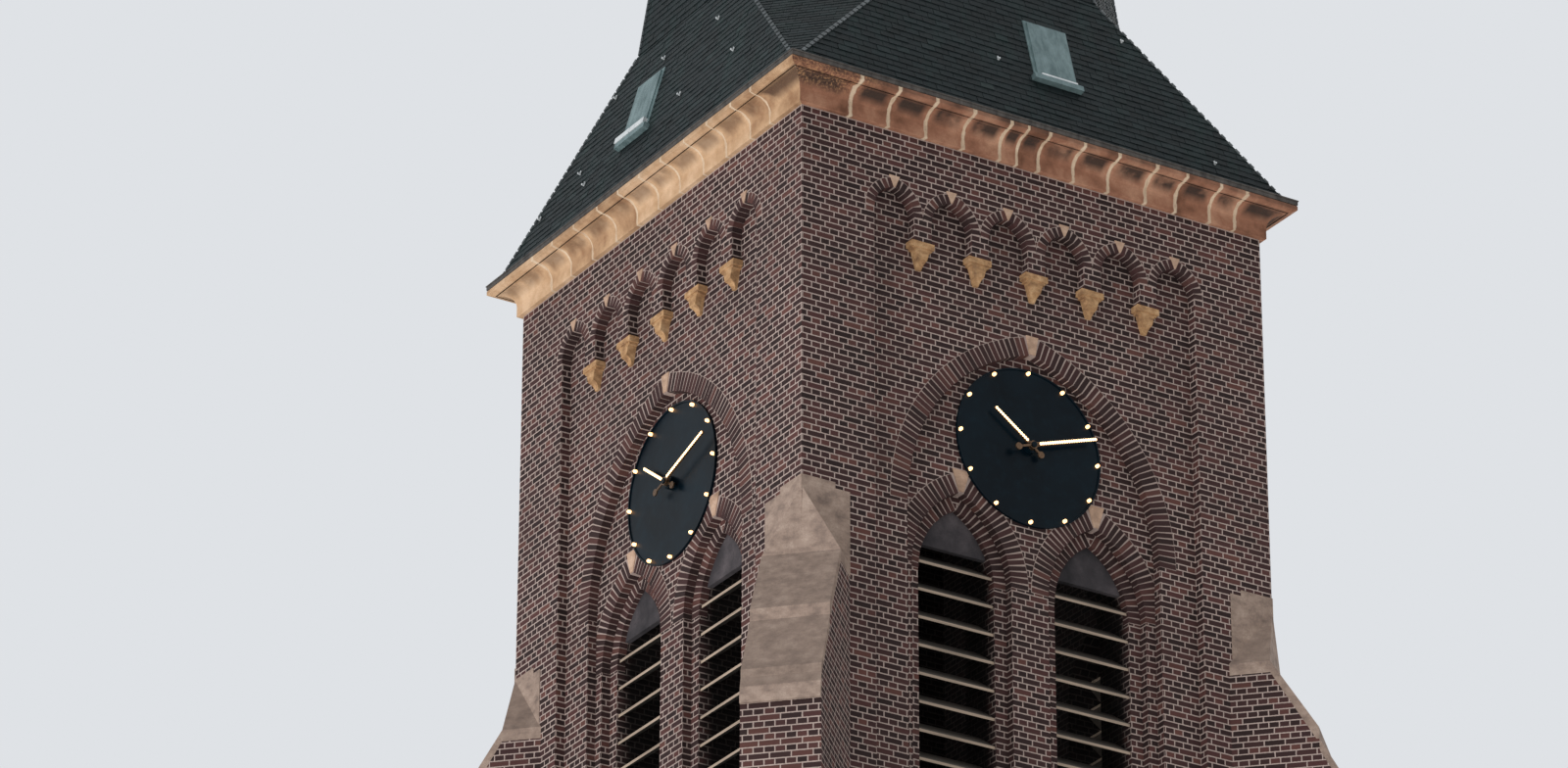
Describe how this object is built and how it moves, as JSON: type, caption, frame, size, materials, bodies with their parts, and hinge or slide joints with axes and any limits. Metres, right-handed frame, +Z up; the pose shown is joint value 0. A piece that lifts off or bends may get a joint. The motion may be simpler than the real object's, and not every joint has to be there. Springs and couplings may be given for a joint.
{
  "type": "church clock tower, 1:2 scale model",
  "caption": "Square brick church tower with clock dials, louvred pointed belfry openings, corner buttresses, stone cornice and a slated broach spire.",
  "frame": {"origin": "centre of the tower's flat underside at ground level", "axes": "+Z up; -Y is the front face, with the door; +X is to the right seen from the front"},
  "size_m": [4.598, 4.598, 29.479],
  "materials": {
    "brick": "purple-brown facing brick in cross bond with pale lime mortar",
    "pale_stone": "sawn pale grey stone, weathered",
    "cornice_stone": "moulded cream sandstone with rain streaks",
    "corbel_stone": "carved ochre sandstone",
    "slate": "riven slate",
    "lead": "weathered lead and zinc sheet",
    "louvre_boards": "weathered grey oak boards",
    "head_panel": "grey painted boards",
    "dial_enamel": "gloss dark blue stove enamel",
    "lamp_glass": "small warm lamp",
    "hand_metal": "satin aluminium channel with a row of lamps",
    "door_oak": "dark oiled oak boards",
    "window_glass": "old leaded glass",
    "floor_timber": "pine boards",
    "floor_stone": "stone flags"
  },
  "bodies": {
    "tower": {"plinth": "pale_stone", "ground_floor": "floor_stone", "middle_floor": "floor_timber", "belfry_floor": "floor_timber", "front_lower_wall": "brick", "right_lower_wall": "brick", "back_lower_wall": "brick", "left_lower_wall": "brick", "front_belfry_wall": "brick", "right_belfry_wall": "brick", "back_belfry_wall": "brick", "left_belfry_wall": "brick", "front_left_buttress": "brick", "front_right_buttress": "brick", "back_right_buttress": "brick", "back_left_buttress": "brick", "buttress_copings": "pale_stone", "string_courses": "pale_stone", "lancet_sills": "pale_stone", "corbels": "corbel_stone", "keystones": "pale_stone", "front_louvres": "louvre_boards", "right_louvres": "louvre_boards", "back_louvres": "louvre_boards", "left_louvres": "louvre_boards", "arch_head_panels": "head_panel", "cornice": "cornice_stone", "gutter": "lead", "lower_roof": "slate", "spire": "slate", "roof_hatches": "lead", "finial": "lead", "clock_dials": "dial_enamel", "dial_lamps": "lamp_glass", "doorway_surround": "pale_stone", "door": "door_oak", "window_glass": "window_glass"},
    "front_minute_hand": {"front_minute_hand": "hand_metal"},
    "front_hour_hand": {"front_hour_hand": "hand_metal"},
    "right_minute_hand": {"right_minute_hand": "hand_metal"},
    "right_hour_hand": {"right_hour_hand": "hand_metal"},
    "back_minute_hand": {"back_minute_hand": "hand_metal"},
    "back_hour_hand": {"back_hour_hand": "hand_metal"},
    "left_minute_hand": {"left_minute_hand": "hand_metal"},
    "left_hour_hand": {"left_hour_hand": "hand_metal"}
  },
  "joints": [
    {"name": "front_minute_turn", "type": "hinge", "parent": "tower", "child": "front_minute_hand", "pos_m": [0, -1.446, 15.683], "axis": [0, 1, 0], "continuous": true},
    {"name": "front_hour_turn", "type": "hinge", "parent": "tower", "child": "front_hour_hand", "pos_m": [0, -1.446, 15.683], "axis": [0, 1, 0], "continuous": true},
    {"name": "right_minute_turn", "type": "hinge", "parent": "tower", "child": "right_minute_hand", "pos_m": [1.446, 0, 15.683], "axis": [-1, 0, 0], "continuous": true},
    {"name": "right_hour_turn", "type": "hinge", "parent": "tower", "child": "right_hour_hand", "pos_m": [1.446, 0, 15.683], "axis": [-1, 0, 0], "continuous": true},
    {"name": "back_minute_turn", "type": "hinge", "parent": "tower", "child": "back_minute_hand", "pos_m": [0, 1.446, 15.683], "axis": [0, -1, 0], "continuous": true},
    {"name": "back_hour_turn", "type": "hinge", "parent": "tower", "child": "back_hour_hand", "pos_m": [0, 1.446, 15.683], "axis": [0, -1, 0], "continuous": true},
    {"name": "left_minute_turn", "type": "hinge", "parent": "tower", "child": "left_minute_hand", "pos_m": [-1.446, 0, 15.683], "axis": [1, 0, 0], "continuous": true},
    {"name": "left_hour_turn", "type": "hinge", "parent": "tower", "child": "left_hour_hand", "pos_m": [-1.446, 0, 15.683], "axis": [1, 0, 0], "continuous": true}
  ],
  "couplings": [
    {"joint": "front_hour_turn", "follows": "front_minute_turn", "ratio": 0.083333},
    {"joint": "right_minute_turn", "follows": "front_minute_turn", "ratio": 1},
    {"joint": "right_hour_turn", "follows": "front_minute_turn", "ratio": 0.083333},
    {"joint": "back_minute_turn", "follows": "front_minute_turn", "ratio": 1},
    {"joint": "back_hour_turn", "follows": "front_minute_turn", "ratio": 0.083333},
    {"joint": "left_minute_turn", "follows": "front_minute_turn", "ratio": 1},
    {"joint": "left_hour_turn", "follows": "front_minute_turn", "ratio": 0.083333}
  ]
}
